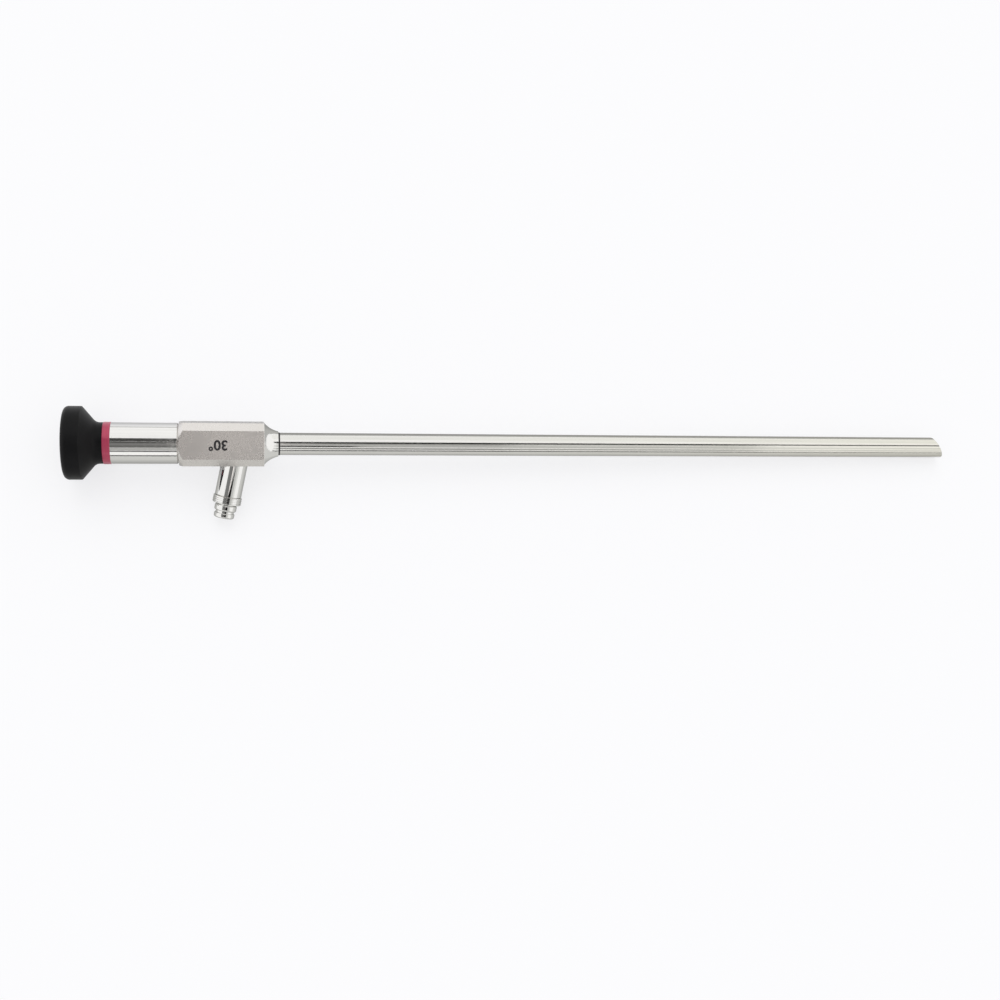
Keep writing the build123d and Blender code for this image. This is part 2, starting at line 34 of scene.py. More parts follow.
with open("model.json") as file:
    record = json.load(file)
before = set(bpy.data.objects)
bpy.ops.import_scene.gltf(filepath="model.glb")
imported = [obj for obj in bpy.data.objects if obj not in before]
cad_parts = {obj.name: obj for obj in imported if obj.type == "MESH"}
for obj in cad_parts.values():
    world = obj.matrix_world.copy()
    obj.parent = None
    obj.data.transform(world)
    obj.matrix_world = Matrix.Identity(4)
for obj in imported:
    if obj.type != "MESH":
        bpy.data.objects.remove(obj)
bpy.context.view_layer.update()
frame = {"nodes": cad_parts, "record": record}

MM = 0.001
MICRON = 0.000001
NODES = frame["nodes"]
MOUNTS = {mount["name"]: mount for mount in frame["record"]["mounts"]}
TUBE_RADIUS = MOUNTS["sheath"]["dims"]["r_mm"] * MM


def scope_frame():
    """Scope frame from the mounts: X along the tube, the light post on the -Y side, Z out of the flat.

    Its zero is where the tube leaves the nose, found from the front of the body's box.
    """
    sheath = MOUNTS["sheath"]
    along = Vector(sheath["axis"]).normalized()
    outwards = Vector(MOUNTS["light_connector"]["axis"]).normalized()
    across = -(outwards - along * outwards.dot(along)).normalized()
    up = along.cross(across)
    place = Vector(sheath["pos_m"])
    nose = max((vertex.co - place).dot(along) for vertex in NODES["main_body"].data.vertices)
    turn = Matrix((along, across, up)).transposed().to_4x4()
    return Matrix.Translation(place + along * nose) @ turn


SCOPE = scope_frame()
POST_TURN = Vector(MOUNTS["light_connector"]["axis"]).to_track_quat("X", "Z").to_matrix().to_4x4()
POST = Matrix.Translation(Vector(MOUNTS["light_connector"]["pos_m"])) @ POST_TURN
BODY_TOP = max((SCOPE.inverted() @ vertex.co).z for vertex in NODES["main_body"].data.vertices)


class EndoscopeSizes(bpy.types.PropertyGroup):
    """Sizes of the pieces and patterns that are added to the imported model."""

    numeral_height: FloatProperty(
        name="Numeral height",
        description="Height of the engraved figures",
        default=4.35 * MM,
        unit="LENGTH",
    )
    numeral_station: FloatProperty(
        name="Numeral station",
        description="Middle of the marking, behind the nose",
        default=26.0 * MM,
        unit="LENGTH",
    )
    numeral_offset: FloatProperty(
        name="Numeral offset",
        description="Middle of the marking, away from the post",
        default=0.25 * MM,
        unit="LENGTH",
    )
    numeral_weight: FloatProperty(
        name="Numeral weight",
        description="How far the strokes are thickened",
        default=0.19 * MM,
        unit="LENGTH",
    )
    ink_depth: FloatProperty(
        name="Ink depth",
        description="How far the filled figures stand proud",
        default=0.012 * MM,
        unit="LENGTH",
    )
    # The next two sizes shape a dark ring of painted shade where the tube leaves the nose. It stands in for
    # the shadow at that joint and is not a braze line.
    shade_ring_width: FloatProperty(
        name="Seam width",
        description="Length of the braze line at the nose",
        default=0.75 * MM,
        unit="LENGTH",
    )
    shade_ring_height: FloatProperty(
        name="Seam height",
        description="Height of the braze line on the tube",
        default=0.14 * MM,
        unit="LENGTH",
    )
    turned_pitch: FloatProperty(
        name="Turned pitch",
        description="Pitch of the fine turned lines",
        default=0.22 * MM,
        unit="LENGTH",
    )


class EndoscopeColours(bpy.types.PropertyGroup):
    """Colours of the finishes."""

    satin_steel: FloatVectorProperty(
        name="Satin steel", description="Body", subtype="COLOR", size=3, default=(0.84, 0.81, 0.785)
    )
    polished_steel: FloatVectorProperty(
        name="Polished steel",
        description="Eyepiece tube and post",
        subtype="COLOR",
        size=3,
        default=(0.93, 0.925, 0.91),
    )
    tube_steel: FloatVectorProperty(
        name="Tube steel",
        description="Long tube",
        subtype="COLOR",
        size=3,
        default=(0.91, 0.905, 0.885),
    )
    black_plastic: FloatVectorProperty(
        name="Black plastic",
        description="Eye cup",
        subtype="COLOR",
        size=3,
        default=(0.004, 0.004, 0.0045),
    )
    ring_red: FloatVectorProperty(
        name="Ring red",
        description="Colour ring",
        subtype="COLOR",
        size=3,
        default=(0.45, 0.045, 0.10),
    )
    ink: FloatVectorProperty(
        name="Ink",
        description="Engraved figures",
        subtype="COLOR",
        size=3,
        default=(0.012, 0.011, 0.012),
    )
    floor: FloatVectorProperty(
        name="Floor",
        description="Floor of the studio",
        subtype="COLOR",
        size=3,
        default=(0.90, 0.90, 0.90),
    )


class EndoscopeStage(bpy.types.PropertyGroup):
    """Camera and light of the studio."""

    camera_place: FloatVectorProperty(
        name="Camera place", description="Where the camera stands", subtype="TRANSLATION", size=3,
        default=(-0.1230, -0.1156, 0.5359),
    )
    camera_turn: FloatVectorProperty(
        name="Camera turn", description="How the camera is turned", subtype="EULER", size=3,
        default=(math.radians(10.88), math.radians(-10.70), math.radians(-2.62)),
    )
    camera_lens: FloatProperty(name="Lens", description="Focal length in millimetres", default=42.465)
    world_strength: FloatProperty(name="World strength", description="Light from all round", default=0.88)
    key_power: FloatProperty(name="Key power", description="Strength of the broad light", default=0.75)


# Shared shader groups

NOISE_ROUGHNESS = 0.55


def new_group(name, inputs, outputs):
    """An empty shader group with named sockets. Each socket is a name, a kind and a default."""
    group = bpy.data.node_groups.new(name, "ShaderNodeTree")
    for label, kind, default in inputs:
        socket = group.interface.new_socket(label, in_out="INPUT", socket_type=kind)
        if default is not None:
            socket.default_value = default
    for label, kind in outputs:
        group.interface.new_socket(label, in_out="OUTPUT", socket_type=kind)
    return group, group.nodes.new("NodeGroupInput"), group.nodes.new("NodeGroupOutput")


def math_node(nodes, links, operation, first, second=None):
    """A Math node whose inputs are sockets or numbers."""
    node = nodes.new("ShaderNodeMath")
    node.operation = operation
    for socket, value in zip(node.inputs, (first, second)):
        if value is None:
            continue
        if isinstance(value, bpy.types.NodeSocket):
            links.new(value, socket)
        else:
            socket.default_value = value
    return node.outputs[0]


def remap(nodes, links, value, low, high, to_low=0.0, to_high=1.0):
    """A clamped Map Range node."""
    node = nodes.new("ShaderNodeMapRange")
    links.new(value, node.inputs["Value"])
    node.inputs["From Min"].default_value = low
    node.inputs["From Max"].default_value = high
    node.inputs["To Min"].default_value = to_low
    node.inputs["To Max"].default_value = to_high
    return node.outputs["Result"]


def stretched_noise(nodes, links, vector, stretch, scale, detail=3.0):
    """Noise on coordinates that are first multiplied by a stretch."""
    multiply = nodes.new("ShaderNodeVectorMath")
    multiply.operation = "MULTIPLY"
    links.new(vector, multiply.inputs[0])
    multiply.inputs[1].default_value = stretch
    noise = nodes.new("ShaderNodeTexNoise")
    noise.inputs["Scale"].default_value = scale
    noise.inputs["Detail"].default_value = detail
    noise.inputs["Roughness"].default_value = NOISE_ROUGHNESS
    links.new(multiply.outputs[0], noise.inputs["Vector"])
    return noise.outputs["Fac"]


def drawn_lines_group():
    """Long fine lines that run along X, as drawing through a die or polishing lengthwise leaves them."""
    group, source, sink = new_group(
        "Drawn lines",
        [("Vector", "NodeSocketVector", None)],
        [("Height", "NodeSocketFloat"), ("Mask", "NodeSocketFloat")],
    )
    nodes, links = group.nodes, group.links
    fine = stretched_noise(nodes, links, source.outputs["Vector"], (0.02, 1.0, 1.0), 9000.0)
    broad = stretched_noise(nodes, links, source.outputs["Vector"], (0.015, 1.0, 1.0), 1500.0, detail=2.0)
    links.new(math_node(nodes, links, "ADD", fine, broad), sink.inputs["Height"])
    links.new(remap(nodes, links, broad, 0.35, 0.65), sink.inputs["Mask"])
    return group


def turned_lines_group():
    """Fine rings round X, as a lathe tool leaves them: a wave along X, broken by a little noise."""
    group, source, sink = new_group(
        "Turned lines",
        [("Vector", "NodeSocketVector", None), ("Pitch", "NodeSocketFloat", 0.0002)],
        [("Height", "NodeSocketFloat")],
    )
    nodes, links = group.nodes, group.links
    split = nodes.new("ShaderNodeSeparateXYZ")
    links.new(source.outputs["Vector"], split.inputs[0])
    turns = math_node(nodes, links, "DIVIDE", split.outputs["X"], source.outputs["Pitch"])
    angle = math_node(nodes, links, "MULTIPLY", turns, 2 * math.pi)
    wave = math_node(nodes, links, "SINE", angle)
    rough = stretched_noise(nodes, links, source.outputs["Vector"], (1.0, 0.04, 0.04), 5000.0)
    half = math_node(nodes, links, "MULTIPLY", wave, 0.35)
    links.new(math_node(nodes, links, "ADD", half, rough), sink.inputs["Height"])
    return group


def handling_group():
    """Faint marks of handling: soft smudges, and short hair scratches that lie all ways."""
    group, source, sink = new_group(
        "Handling marks",
        [
            ("Vector", "NodeSocketVector", None),
            ("Smudges", "NodeSocketFloat", 0.05),
            ("Scratches", "NodeSocketFloat", 0.05),
        ],
        [("Roughness", "NodeSocketFloat"), ("Height", "NodeSocketFloat")],
    )
    nodes, links = group.nodes, group.links
    cloud = stretched_noise(nodes, links, source.outputs["Vector"], (1.0, 1.0, 1.0), 160.0, detail=4.0)
    smudge = remap(nodes, links, cloud, 0.48, 0.72)
    smudge = math_node(nodes, links, "MULTIPLY", smudge, source.outputs["Smudges"])
    scratches = None
    for turn in (0.6, 2.1, 1.3):
        swing = nodes.new("ShaderNodeVectorRotate")
        swing.rotation_type = "Z_AXIS"
        swing.inputs["Angle"].default_value = turn
        links.new(source.outputs["Vector"], swing.inputs["Vector"])
        streak = stretched_noise(nodes, links, swing.outputs[0], (0.05, 1.0, 1.0), 2600.0, detail=1.0)
        hair = remap(nodes, links, streak, 0.70, 0.74)
        scratches = hair if scratches is None else math_node(nodes, links, "MAXIMUM", scratches, hair)
    marks = math_node(nodes, links, "MULTIPLY", scratches, source.outputs["Scratches"])
    links.new(math_node(nodes, links, "ADD", smudge, marks), sink.inputs["Roughness"])
    links.new(math_node(nodes, links, "MULTIPLY", scratches, -1.0), sink.inputs["Height"])
    return group


def grain_group():
    """Fine even grain, as bead blasting or a mould's face leaves it, with a slow change of tone."""
    group, source, sink = new_group(
        "Fine grain",
        [("Vector", "NodeSocketVector", None), ("Scale", "NodeSocketFloat", 5000.0)],
        [("Height", "NodeSocketFloat"), ("Tone", "NodeSocketFloat")],
    )
    nodes, links = group.nodes, group.links
    noise = nodes.new("ShaderNodeTexNoise")
    noise.inputs["Detail"].default_value = 3.0
    links.new(source.outputs["Vector"], noise.inputs["Vector"])
    links.new(source.outputs["Scale"], noise.inputs["Scale"])
    slow = stretched_noise(nodes, links, source.outputs["Vector"], (1.0, 1.0, 1.0), 90.0, detail=4.0)
    links.new(noise.outputs["Fac"], sink.inputs["Height"])
    links.new(remap(nodes, links, slow, 0.3, 0.7), sink.inputs["Tone"])
    return group


GROUPS = {}


def group_node(tree, name, vector, **values):
    """Places a shared group in a material, with its own values."""
    makers = {
        "drawn": drawn_lines_group,
        "turned": turned_lines_group,
        "handling": handling_group,
        "grain": grain_group,
    }
    if name not in GROUPS:
        GROUPS[name] = makers[name]()
    node = tree.nodes.new("ShaderNodeGroup")
    node.node_tree = GROUPS[name]
    tree.links.new(vector, node.inputs["Vector"])
    for label, value in values.items():
        node.inputs[label].default_value = value
    return node


# Materials

POLISHED_ROUGHNESS = 0.06
DRAWN_ROUGHNESS = 0.10
GLASS_ROUGHNESS = 0.02

# The facets' roughness, then the turned nose's.
BODY_ROUGHNESS = (0.27, 0.12)
NOSE_EDGE_WIDTH = 0.3 * MM
NOSE_TURNED_PITCH = 0.13 * MM

# Where the long tube's tone starts to turn warmer, and where it is warmest.
WARM_STATIONS = (60 * MM, 320 * MM)

# Depth of each finish's relief.
POLISHED_RELIEF = 0.6 * MICRON
BODY_RELIEF = 0.9 * MICRON
DRAWN_RELIEF = 1.4 * MICRON
PLASTIC_RELIEF = 18 * MICRON
ENAMEL_RELIEF = 20 * MICRON
TURNED_RELIEF = 10 * MICRON
RUBBER_RELIEF = 10 * MICRON
FIBRE_RELIEF = 4 * MICRON
INK_RELIEF = 4 * MICRON


def new_material(name, place=SCOPE):
    """A material with its Principled shader and coordinates in the scope's or the post's frame."""
    material = bpy.data.materials.new(name)
    material.use_nodes = True
    tree = material.node_tree
    shader = tree.nodes["Principled BSDF"]
    coordinates = tree.nodes.new("ShaderNodeTexCoord")
    mapping = tree.nodes.new("ShaderNodeMapping")
    mapping.vector_type = "TEXTURE"
    mapping.inputs["Location"].default_value = place.to_translation()
    mapping.inputs["Rotation"].default_value = place.to_euler()
    tree.links.new(coordinates.outputs["Object"], mapping.inputs["Vector"])
    return material, tree, shader, mapping.outputs["Vector"]


def tone(tree, factor, dark, light):
    """A colour between two, chosen by a factor."""
    mix = tree.nodes.new("ShaderNodeMix")
    mix.data_type = "RGBA"
    tree.links.new(factor, mix.inputs["Factor"])
    mix.inputs["A"].default_value = (*dark, 1.0)
    mix.inputs["B"].default_value = (*light, 1.0)
    return mix.outputs["Result"]


def bump(tree, shader, height, distance):
    """A Bump node that feeds the shader's normal."""
    node = tree.nodes.new("ShaderNodeBump")
    node.inputs["Distance"].default_value = distance
    node.inputs["Strength"].default_value = 1.0
    tree.links.new(height, node.inputs["Height"])
    tree.links.new(node.outputs["Normal"], shader.inputs["Normal"])


def shade(colour, factor):
    """A colour made darker or lighter by a factor."""
    return tuple(min(1.0, channel * factor) for channel in colour)


def add(tree, first, second):
    """The sum of two sockets, or of a socket and a number."""
    return math_node(tree.nodes, tree.links, "ADD", first, second)


def stations(tree, vector, start, end):
    """A mask that rises from 0 to 1 between two places along X."""
    split = tree.nodes.new("ShaderNodeSeparateXYZ")
    tree.links.new(vector, split.inputs[0])
    return remap(tree.nodes, tree.links, split.outputs["X"], start, end)


def blend(tree, factor, first, second, mode="MIX"):
    """A colour socket mixed with, or multiplied by, a plain colour where a mask is 1."""
    mix = tree.nodes.new("ShaderNodeMix")
    mix.data_type = "RGBA"
    mix.blend_type = mode
    mix.inputs["B"].default_value = (*second, 1.0)
    tree.links.new(factor, mix.inputs["Factor"])
    tree.links.new(first, mix.inputs["A"])
    return mix.outputs["Result"]


def painted_edge_shade(tree, colour, start, depth):
    """Paints shade into a colour where the surface turns away from the viewer: a painted reflection of the
    shaded floor under it.
    """
    weight = tree.nodes.new("ShaderNodeLayerWeight")
    weight.inputs["Blend"].default_value = 0.5
    shade_mask = remap(tree.nodes, tree.links, weight.outputs["Facing"], start, 0.9)
    return blend(tree, shade_mask, colour, (1.0 - depth,) * 3, "MULTIPLY")


def polished_steel(colour, name, place=SCOPE):
    """Mirror-polished steel with faint polishing lines and marks of handling."""
    material, tree, shader, vector = new_material(name, place)
    lines = group_node(tree, "drawn", vector)
    marks = group_node(tree, "handling", vector, Smudges=0.07, Scratches=0.12)
    steel = tone(tree, lines.outputs["Mask"], shade(colour, 0.96), colour)
    # Painted shade: the base colour darkens towards the grazing edges, standing in for the mirrored floor.
    tree.links.new(painted_edge_shade(tree, steel, start=0.36, depth=0.72), shader.inputs["Base Color"])
    tree.links.new(add(tree, marks.outputs["Roughness"], POLISHED_ROUGHNESS), shader.inputs["Roughness"])
    shader.inputs["Metallic"].default_value = 1.0
    bump(tree, shader, add(tree, lines.outputs["Height"], marks.outputs["Height"]), POLISHED_RELIEF)
    return material


def satin_steel(colour, nose_colour, nose_start):
    """Steel of the body: satin facets with a fine grain, and a brighter turned nose."""
    material, tree, shader, vector = new_material("satin_steel")
    nodes, links = tree.nodes, tree.links
    grain = group_node(tree, "grain", vector, Scale=5200.0)
    turned = group_node(tree, "turned", vector, Pitch=NOSE_TURNED_PITCH)
    marks = group_node(tree, "handling", vector, Smudges=0.05, Scratches=0.05)
    nose = stations(tree, vector, nose_start - NOSE_EDGE_WIDTH, nose_start)
    steel = tone(tree, grain.outputs["Tone"], shade(colour, 0.98), shade(colour, 1.01))
    steel = blend(tree, nose, steel, nose_colour)
    # Painted shade: the base colour darkens towards the grazing edges, standing in for the mirrored floor.
    links.new(painted_edge_shade(tree, steel, start=0.5, depth=0.6), shader.inputs["Base Color"])
    roughness = remap(nodes, links, nose, 0.0, 1.0, *BODY_ROUGHNESS)
    links.new(add(tree, marks.outputs["Roughness"], roughness), shader.inputs["Roughness"])
    shader.inputs["Metallic"].default_value = 1.0
    rings = math_node(nodes, links, "MULTIPLY", turned.outputs["Height"], nose)
    bump(tree, shader, add(tree, grain.outputs["Height"], rings), BODY_RELIEF)
    return material


def drawn_steel(colour):
    """Long tube: drawn steel, half bright, with lines along its length and a warmer tone to its tip."""
    material, tree, shader, vector = new_material("drawn_steel")
    lines = group_node(tree, "drawn", vector)
    marks = group_node(tree, "handling", vector, Smudges=0.06, Scratches=0.08)
    warm = (colour[0], colour[1] * 0.99, colour[2] * 0.93)
    steel = tone(tree, stations(tree, vector, *WARM_STATIONS), colour, warm)
    steel = blend(tree, lines.outputs["Mask"], steel, (0.95, 0.945, 0.94), "MULTIPLY")
    # Painted shade: the base colour darkens towards the grazing edges, standing in for the mirrored floor.
    tree.links.new(painted_edge_shade(tree, steel, start=0.36, depth=0.62), shader.inputs["Base Color"])
    tree.links.new(add(tree, marks.outputs["Roughness"], DRAWN_ROUGHNESS), shader.inputs["Roughness"])
    shader.inputs["Metallic"].default_value = 1.0
    bump(tree, shader, add(tree, lines.outputs["Height"], marks.outputs["Height"]), DRAWN_RELIEF)
    return material


def matte_plastic(colour):
    """Black moulded plastic of the eye cup, with a fine grained face and a little dust in it."""
    material, tree, shader, vector = new_material("matte_black_plastic")
    grain = group_node(tree, "grain", vector, Scale=3600.0)
    dusty = tuple(channel + 0.003 for channel in colour)
    tree.links.new(tone(tree, grain.outputs["Tone"], colour, dusty), shader.inputs["Base Color"])
    rough = remap(tree.nodes, tree.links, grain.outputs["Tone"], 0.0, 1.0, 0.36, 0.46)
    tree.links.new(rough, shader.inputs["Roughness"])
    shader.inputs["Specular IOR Level"].default_value = 0.13
    bump(tree, shader, grain.outputs["Height"], PLASTIC_RELIEF)
    return material


def ring_enamel(colour, pitch):
    """Red ring: coloured metal with turned lines in its relief and roughness, and a painted sheen: its
    colour runs lighter and darker along the same lines.
    """
    material, tree, shader, vector = new_material("ring_enamel")
    turned = group_node(tree, "turned", vector, Pitch=pitch)
    # Painted sheen: the colour is lighter and darker along the turned lines, where they would catch the
    # light.
    turned_sheen = tone(tree, turned.outputs["Height"], shade(colour, 0.75), shade(colour, 1.25))
    tree.links.new(turned_sheen, shader.inputs["Base Color"])
    rough = remap(tree.nodes, tree.links, turned.outputs["Height"], 0.0, 1.0, 0.28, 0.42)
    tree.links.new(rough, shader.inputs["Roughness"])
    shader.inputs["Metallic"].default_value = 0.35
    shader.inputs["Coat Weight"].default_value = 0.4
    shader.inputs["Coat Roughness"].default_value = 0.18
    bump(tree, shader, turned.outputs["Height"], ENAMEL_RELIEF)
    return material


def turned_metal(name, colour, roughness, pitch, metallic=1.0):
    """A turned metal with fine rings round the axis, for the pieces inside."""
    material, tree, shader, vector = new_material(name)
    turned = group_node(tree, "turned", vector, Pitch=pitch)
    height = turned.outputs["Height"]
    tree.links.new(tone(tree, height, shade(colour, 0.9), shade(colour, 1.1)), shader.inputs["Base Color"])
    rough = remap(tree.nodes, tree.links, height, 0.0, 1.0, roughness - 0.04, roughness + 0.04)
    tree.links.new(rough, shader.inputs["Roughness"])
    shader.inputs["Metallic"].default_value = metallic
    bump(tree, shader, height, TURNED_RELIEF)
    return material


def coated_glass(name, tint, coat):
    """Polished glass with a coating whose colour shows at a slant, and specks of dust."""
    material, tree, shader, vector = new_material(name)
    marks = group_node(tree, "handling", vector, Smudges=0.03, Scratches=0.02)
    facing = tree.nodes.new("ShaderNodeLayerWeight")
    facing.inputs["Blend"].default_value = 0.35
    tree.links.new(tone(tree, facing.outputs["Facing"], tint, coat), shader.inputs["Base Color"])
    tree.links.new(add(tree, marks.outputs["Roughness"], GLASS_ROUGHNESS), shader.inputs["Roughness"])
    shader.inputs["Transmission Weight"].default_value = 0.92
    shader.inputs["IOR"].default_value = 1.6
    return material


def fibre_ends():
    """Ground ends of the light fibres: pale cells of glass in darker resin."""
    material, tree, shader, vector = new_material("fibre_ends")
    cells = tree.nodes.new("ShaderNodeTexVoronoi")
    cells.feature = "DISTANCE_TO_EDGE"
    cells.inputs["Scale"].default_value = 9000.0
    tree.links.new(vector, cells.inputs["Vector"])
    face = remap(tree.nodes, tree.links, cells.outputs["Distance"], 0.02, 0.16)
    tree.links.new(tone(tree, face, (0.10, 0.085, 0.06), (0.62, 0.60, 0.52)), shader.inputs["Base Color"])
    tree.links.new(remap(tree.nodes, tree.links, face, 0.0, 1.0, 0.45, 0.12), shader.inputs["Roughness"])
    bump(tree, shader, face, FIBRE_RELIEF)
    return material


def seal_rubber():
    """Black rubber of the seals."""
    material, tree, shader, vector = new_material("seal_rubber")
    grain = group_node(tree, "grain", vector, Scale=2400.0)
    black = tone(tree, grain.outputs["Tone"], (0.018, 0.018, 0.018), (0.03, 0.03, 0.03))
    tree.links.new(black, shader.inputs["Base Color"])
    rough = remap(tree.nodes, tree.links, grain.outputs["Tone"], 0.0, 1.0, 0.6, 0.75)
    tree.links.new(rough, shader.inputs["Roughness"])
    bump(tree, shader, grain.outputs["Height"], RUBBER_RELIEF)
    return material


def ink_and_painted_shade(name, colour, roughness=0.55):
    """Dark filling, a little uneven: the ink of an engraved line, and also the dark ring of painted shade
    at the nose.
    """
    material, tree, shader, vector = new_material(name)
    grain = group_node(tree, "grain", vector, Scale=9000.0)
    uneven = tone(tree, grain.outputs["Tone"], colour, shade(colour, 2.2))
    tree.links.new(uneven, shader.inputs["Base Color"])
    rough = remap(tree.nodes, tree.links, grain.outputs["Tone"], 0.0, 1.0, roughness, roughness + 0.15)
    tree.links.new(rough, shader.inputs["Roughness"])
    bump(tree, shader, grain.outputs["Height"], INK_RELIEF)
    return material


def dress(material, *names):
    """Gives CAD nodes a material."""
    for name in names:
        data = NODES[name].data
        data.materials.clear()
        data.materials.append(material)


# Surfaces

# How far the dark ring of painted shade at the joint reaches into the nose and the tube.
SHADE_RING_SINK = 0.02 * MM
FLAT_TOLERANCE = 0.01 * MM

# Height of a figure as a share of its font's size.
FIGURE_SHARE = 0.72


def closed_grid_faces(rows, columns):
    """Quads of a grid of points that comes round to its start both ways."""
    row, column = np.meshgrid(np.arange(rows), np.arange(columns), indexing="ij")
    next_row, next_column = (row + 1) % rows, (column + 1) % columns
    corners = (
        row * columns + column,
        row * columns + next_column,
        next_row * columns + next_column,
        next_row * columns + column,
    )
    return np.stack([corner.ravel() for corner in corners], axis=1)


def put_mesh(name, points, faces, place, material):
    """Makes a piece from arrays of points and faces, with its place put into its mesh."""
    mesh = bpy.data.meshes.new(name)
    mesh.from_pydata(points.reshape(-1, 3).tolist(), [], faces.tolist())
    mesh.transform(place)
    mesh.shade_smooth()
    mesh.materials.append(material)
    piece = bpy.data.objects.new(name, mesh)
    bpy.context.scene.collection.objects.link(piece)
    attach(piece, "root")


def turned_surface(profile, turns=192):
    """Closed ring: a point (x, r) of a closed profile goes round X as (x, r cos u, r sin u)."""
    profile = np.asarray(profile, dtype=float)
    angle = np.linspace(0.0, 2 * math.pi, turns, endpoint=False)
    x = np.repeat(profile[:, :1], turns, axis=1)
    y = profile[:, 1:] * np.cos(angle)
    z = profile[:, 1:] * np.sin(angle)
    return np.stack([x, y, z], axis=2), closed_grid_faces(len(profile), turns)


def shade_ring_profile(width, height, low, steps=12):
    """Closed profile of the dark ring of painted shade at the joint: x runs from the nose, and r falls to
    the tube as a quarter of an oval.
    """
    angle = np.linspace(0.0, math.pi / 2, steps)
    bow = np.stack([width * np.sin(angle), low + height * np.cos(angle)], axis=1)
    under = low - SHADE_RING_SINK
    back = [[width, under], [-SHADE_RING_SINK, under], [-SHADE_RING_SINK, low + height]]
    return np.concatenate([bow, back])


def flat_corners(mesh):
    """Vertices of the body's upper flat, in the scope's frame."""
    back = SCOPE.inverted()
    places = [back @ vertex.co for vertex in mesh.vertices]
    return [place for place in places if place.z > BODY_TOP - FLAT_TOLERANCE]


# Operators


class ENDOSCOPE_OT_eye_cup(bpy.types.Operator):
    """Finish the black moulded eye cup"""

    bl_idname = "endoscope.eye_cup"
    bl_label = "Eye cup"

    def execute(self, context):
        dress(matte_plastic(context.scene.endoscope_colours.black_plastic), "eye_cup")
        return {"FINISHED"}


class ENDOSCOPE_OT_colour_ring(bpy.types.Operator):
    """Finish the red ring between eye cup and eyepiece"""

    bl_idname = "endoscope.colour_ring"
    bl_label = "Colour ring"

    def execute(self, context):
        pitch = context.scene.endoscope_sizes.turned_pitch
        dress(ring_enamel(context.scene.endoscope_colours.ring_red, pitch), "colour_ring")
        return {"FINISHED"}


class ENDOSCOPE_OT_eyepiece(bpy.types.Operator):
    """Finish the polished tube of the eyepiece, its window and the ring that holds it"""

    bl_idname = "endoscope.eyepiece"
    bl_label = "Eyepiece"

    def execute(self, context):
        colours = context.scene.endoscope_colours
        dress(polished_steel(colours.polished_steel, "polished_steel"), "ocular_housing", "window_ring")
        dress(coated_glass("coated_window", (0.93, 0.96, 0.97), (0.62, 0.55, 0.75)), "ocular_window")
        return {"FINISHED"}


class ENDOSCOPE_OT_body(bpy.types.Operator):
    """Finish the faceted body"""

    bl_idname = "endoscope.body"
    bl_label = "Body"

    def execute(self, context):
        body = NODES["main_body"].data
        nose_start = max(place.x for place in flat_corners(body))
        colours = context.scene.endoscope_colours
        dress(satin_steel(colours.satin_steel, colours.polished_steel, nose_start), "main_body")
        return {"FINISHED"}


class ENDOSCOPE_OT_marking(bpy.types.Operator):
    """Fill the engraved angle of view on the body's flat"""

    bl_idname = "endoscope.marking"
    bl_label = "Marking"

    text: StringProperty(name="Text", description="Plain figures of the angle of view", default="30°")

    def execute(self, context):
        sizes = context.scene.endoscope_sizes
        colours = context.scene.endoscope_colours
        curve = bpy.data.curves.new("angle_figures", "FONT")
        curve.body = self.text
        curve.align_x = "CENTER"
        curve.align_y = "CENTER"
        curve.size = sizes.numeral_height / FIGURE_SHARE
        curve.extrude = sizes.ink_depth
        curve.offset = sizes.numeral_weight
        writer = bpy.data.objects.new("angle_writer", curve)
        context.scene.collection.objects.link(writer)
        context.view_layer.update()
        mesh = bpy.data.meshes.new_from_object(writer.evaluated_get(context.evaluated_depsgraph_get()))
        bpy.data.objects.remove(writer)
        mesh.name = "angle_figures"
        spot = Matrix.Translation((-sizes.numeral_station, sizes.numeral_offset, BODY_TOP))
        mesh.transform(SCOPE @ spot @ Matrix.Rotation(math.pi, 4, "Z"))
        mesh.materials.clear()
        mesh.materials.append(ink_and_painted_shade("figure_ink", colours.ink))
        piece = bpy.data.objects.new("angle_figures", mesh)
        context.scene.collection.objects.link(piece)
        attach(piece, "root")
        return {"FINISHED"}


class ENDOSCOPE_OT_long_tube(bpy.types.Operator):
    """Finish the long tube and lay a dark ring of painted shade where it leaves the nose"""

    bl_idname = "endoscope.long_tube"
    bl_label = "Long tube"

    def execute(self, context):
        sizes = context.scene.endoscope_sizes
        colours = context.scene.endoscope_colours
        dress(drawn_steel(colours.tube_steel), "sheath_tube")
        profile = shade_ring_profile(sizes.shade_ring_width, sizes.shade_ring_height, TUBE_RADIUS)
        points, faces = turned_surface(profile)
        # Painted shade: a black ring laid where the joint between tube and nose is in shadow.
        joint_shade = ink_and_painted_shade("joint_shade_black", colours.ink, 0.35)
        put_mesh("nose_shade_ring", points, faces, SCOPE, joint_shade)
        return {"FINISHED"}


class ENDOSCOPE_OT_tip(bpy.types.Operator):
    """Finish the slanted tip: its window, its fibres and the objective behind them"""

    bl_idname = "endoscope.tip"
    bl_label = "Tip"

    def execute(self, context):
        dress(coated_glass("tip_window", (0.90, 0.93, 0.95), (0.45, 0.40, 0.62)), "distal_window")
        dress(fibre_ends(), "fibre_bundle")
        dress(
            coated_glass("lens_glass", (0.95, 0.97, 0.98), (0.80, 0.84, 0.88)),
            "objective_front_lens",
            "deflecting_prism",
            "objective_crown",
            "objective_flint",
            "eye_lens",
            "field_lens",
            *[name for name in NODES if name.startswith("rod_lens")],
        )
        return {"FINISHED"}


